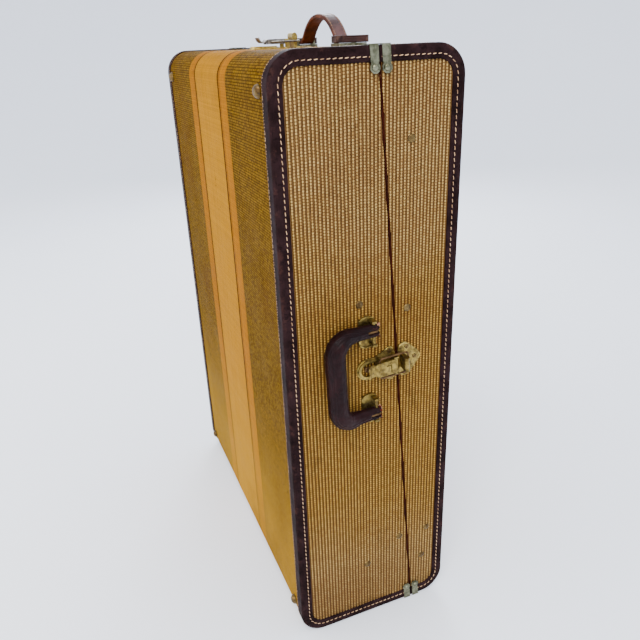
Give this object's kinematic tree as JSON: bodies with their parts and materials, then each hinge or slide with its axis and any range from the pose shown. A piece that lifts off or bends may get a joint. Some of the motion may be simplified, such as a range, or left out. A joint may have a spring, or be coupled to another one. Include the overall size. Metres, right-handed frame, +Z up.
{
  "type": "wardrobe suitcase",
  "caption": "Hard-sided wardrobe suitcase in striped tweed with leather edges, a hinged lid on a slanted seam, draw-bolt latches, a swinging handle and a top strap.",
  "frame": {"origin": "on the floor under the middle of the whole object's box", "axes": "+Z up the standing case, +X out of the end panel with the carrying handle, +Y from the body's broad face to the lid's"},
  "size_m": [0.5287, 0.2166, 0.757],
  "materials": {
    "tweed": "woven striped tweed, lacquered",
    "leather": "worn dark brown hide, saddle stitched",
    "handle_leather": "worn dark brown hide over a core",
    "strap_leather": "waxed strap leather",
    "plywood": "stained plywood",
    "lining": "plain woven lining",
    "brass": "antique, tarnished",
    "nickel": "tarnished nickel plate",
    "bronze": "browned dome heads",
    "steel": "plain wire and strip",
    "webbing": "woven cotton webbing",
    "beech": "turned and varnished"
  },
  "bodies": {
    "case_body": {"body_binding_far": "leather", "body_binding_near": "leather", "body_clip_far_lower": "nickel", "body_clip_far_upper": "nickel", "body_clip_near_lower": "nickel", "body_clip_near_upper": "nickel", "body_cover": "tweed", "body_lining": "lining", "body_lip": "plywood", "body_shell": "plywood", "foot_stud_far_lower": "bronze", "foot_stud_far_upper": "bronze", "foot_stud_near_lower": "bronze", "foot_stud_near_upper": "bronze", "garment_strap_lower": "webbing", "garment_strap_upper": "webbing", "handle_bracket_lower": "brass", "handle_bracket_upper": "brass", "hinge_body_leaf_lower": "brass", "hinge_body_leaf_upper": "brass", "hinge_pin_lower": "steel", "hinge_pin_upper": "steel", "near_latch_base": "brass", "near_latch_pin": "steel", "stay_body_stud_lower": "steel", "stay_body_stud_upper": "steel", "top_latch_base": "brass", "top_latch_pin": "steel"},
    "handle": {"handle_grip": "handle_leather", "handle_ring_lower": "steel", "handle_ring_upper": "steel"},
    "lid": {"hanger_rod": "beech", "hinge_lid_leaf_lower": "brass", "hinge_lid_leaf_upper": "brass", "lid_binding_far": "leather", "lid_binding_near": "leather", "lid_clip_far_lower": "nickel", "lid_clip_far_upper": "nickel", "lid_clip_near_lower": "nickel", "lid_clip_near_upper": "nickel", "lid_cover": "tweed", "lid_lining": "lining", "lid_shell": "plywood", "near_latch_catch": "brass", "rod_socket_far": "nickel", "rod_socket_near": "nickel", "stay_lid_stud_lower": "steel", "stay_lid_stud_upper": "steel", "strap_bridge_far": "nickel", "strap_bridge_near": "nickel", "top_latch_catch": "brass", "top_strap": "strap_leather"},
    "near_bail": {"near_latch_bail": "steel"},
    "near_lever": {"near_latch_lever": "brass"},
    "stay_body_arm_lower": {"stay_body_arm_lower": "steel"},
    "stay_body_arm_upper": {"stay_body_arm_upper": "steel"},
    "stay_lid_arm_lower": {"stay_lid_arm_lower": "steel"},
    "stay_lid_arm_upper": {"stay_lid_arm_upper": "steel"},
    "top_bail": {"top_latch_bail": "steel"},
    "top_lever": {"top_latch_lever": "brass"}
  },
  "joints": [
    {"name": "lid_hinge", "type": "hinge", "parent": "case_body", "child": "lid", "pos_m": [-0.2617, 0.03463, 0.36], "axis": [0, -0.069, 0.9976], "range_deg": [0, 100]},
    {"name": "near_lever_pivot", "type": "hinge", "parent": "case_body", "child": "near_lever", "pos_m": [0.2484, 0.02769, 0.38062], "axis": [0, -0.069, 0.9976], "range_deg": [0, 90]},
    {"name": "near_bail_pivot", "type": "hinge", "parent": "near_lever", "child": "near_bail", "pos_m": [0.2484, 0.00674, 0.37917], "axis": [0, -0.069, 0.9976], "range_deg": [-135, 0]},
    {"name": "top_lever_pivot", "type": "hinge", "parent": "case_body", "child": "top_lever", "pos_m": [-0.0085, 0.00436, 0.7269], "axis": [-1, 0, 0], "range_deg": [0, 90]},
    {"name": "top_bail_pivot", "type": "hinge", "parent": "top_lever", "child": "top_bail", "pos_m": [-0.0085, -0.01664, 0.7269], "axis": [-1, 0, 0], "range_deg": [-135, 0]},
    {"name": "handle_swing", "type": "hinge", "parent": "case_body", "child": "handle", "pos_m": [0.2486, 0.0003, 0.37667], "axis": [0, -0.0303, 0.9995], "range_deg": [0, 100]},
    {"name": "stay_body_pivot_upper", "type": "hinge", "parent": "case_body", "child": "stay_body_arm_upper", "pos_m": [-0.1517, -0.01301, 0.70084], "axis": [0, -0.069, 0.9976], "range_deg": [0, 96]},
    {"name": "stay_knee_upper", "type": "hinge", "parent": "stay_body_arm_upper", "child": "stay_lid_arm_upper", "pos_m": [-0.03321, 0.00594, 0.70215], "axis": [0, -0.069, 0.9976], "range_deg": [-92, 0]},
    {"name": "stay_body_pivot_lower", "type": "hinge", "parent": "case_body", "child": "stay_body_arm_lower", "pos_m": [-0.1517, 0.03439, 0.01584], "axis": [0, -0.069, 0.9976], "range_deg": [0, 96]},
    {"name": "stay_knee_lower", "type": "hinge", "parent": "stay_body_arm_lower", "child": "stay_lid_arm_lower", "pos_m": [-0.03321, 0.05334, 0.01716], "axis": [0, -0.069, 0.9976], "range_deg": [-92, 0]}
  ],
  "couplings": [
    {"joint": "near_bail_pivot", "follows": "near_lever_pivot", "ratio": -1.5},
    {"joint": "top_bail_pivot", "follows": "top_lever_pivot", "ratio": -1.5},
    {"joint": "stay_body_pivot_upper", "follows": "lid_hinge", "ratio": 0.9219},
    {"joint": "stay_knee_upper", "follows": "lid_hinge", "ratio": -0.8893},
    {"joint": "stay_body_pivot_lower", "follows": "lid_hinge", "ratio": 0.9219},
    {"joint": "stay_knee_lower", "follows": "lid_hinge", "ratio": -0.8893}
  ]
}
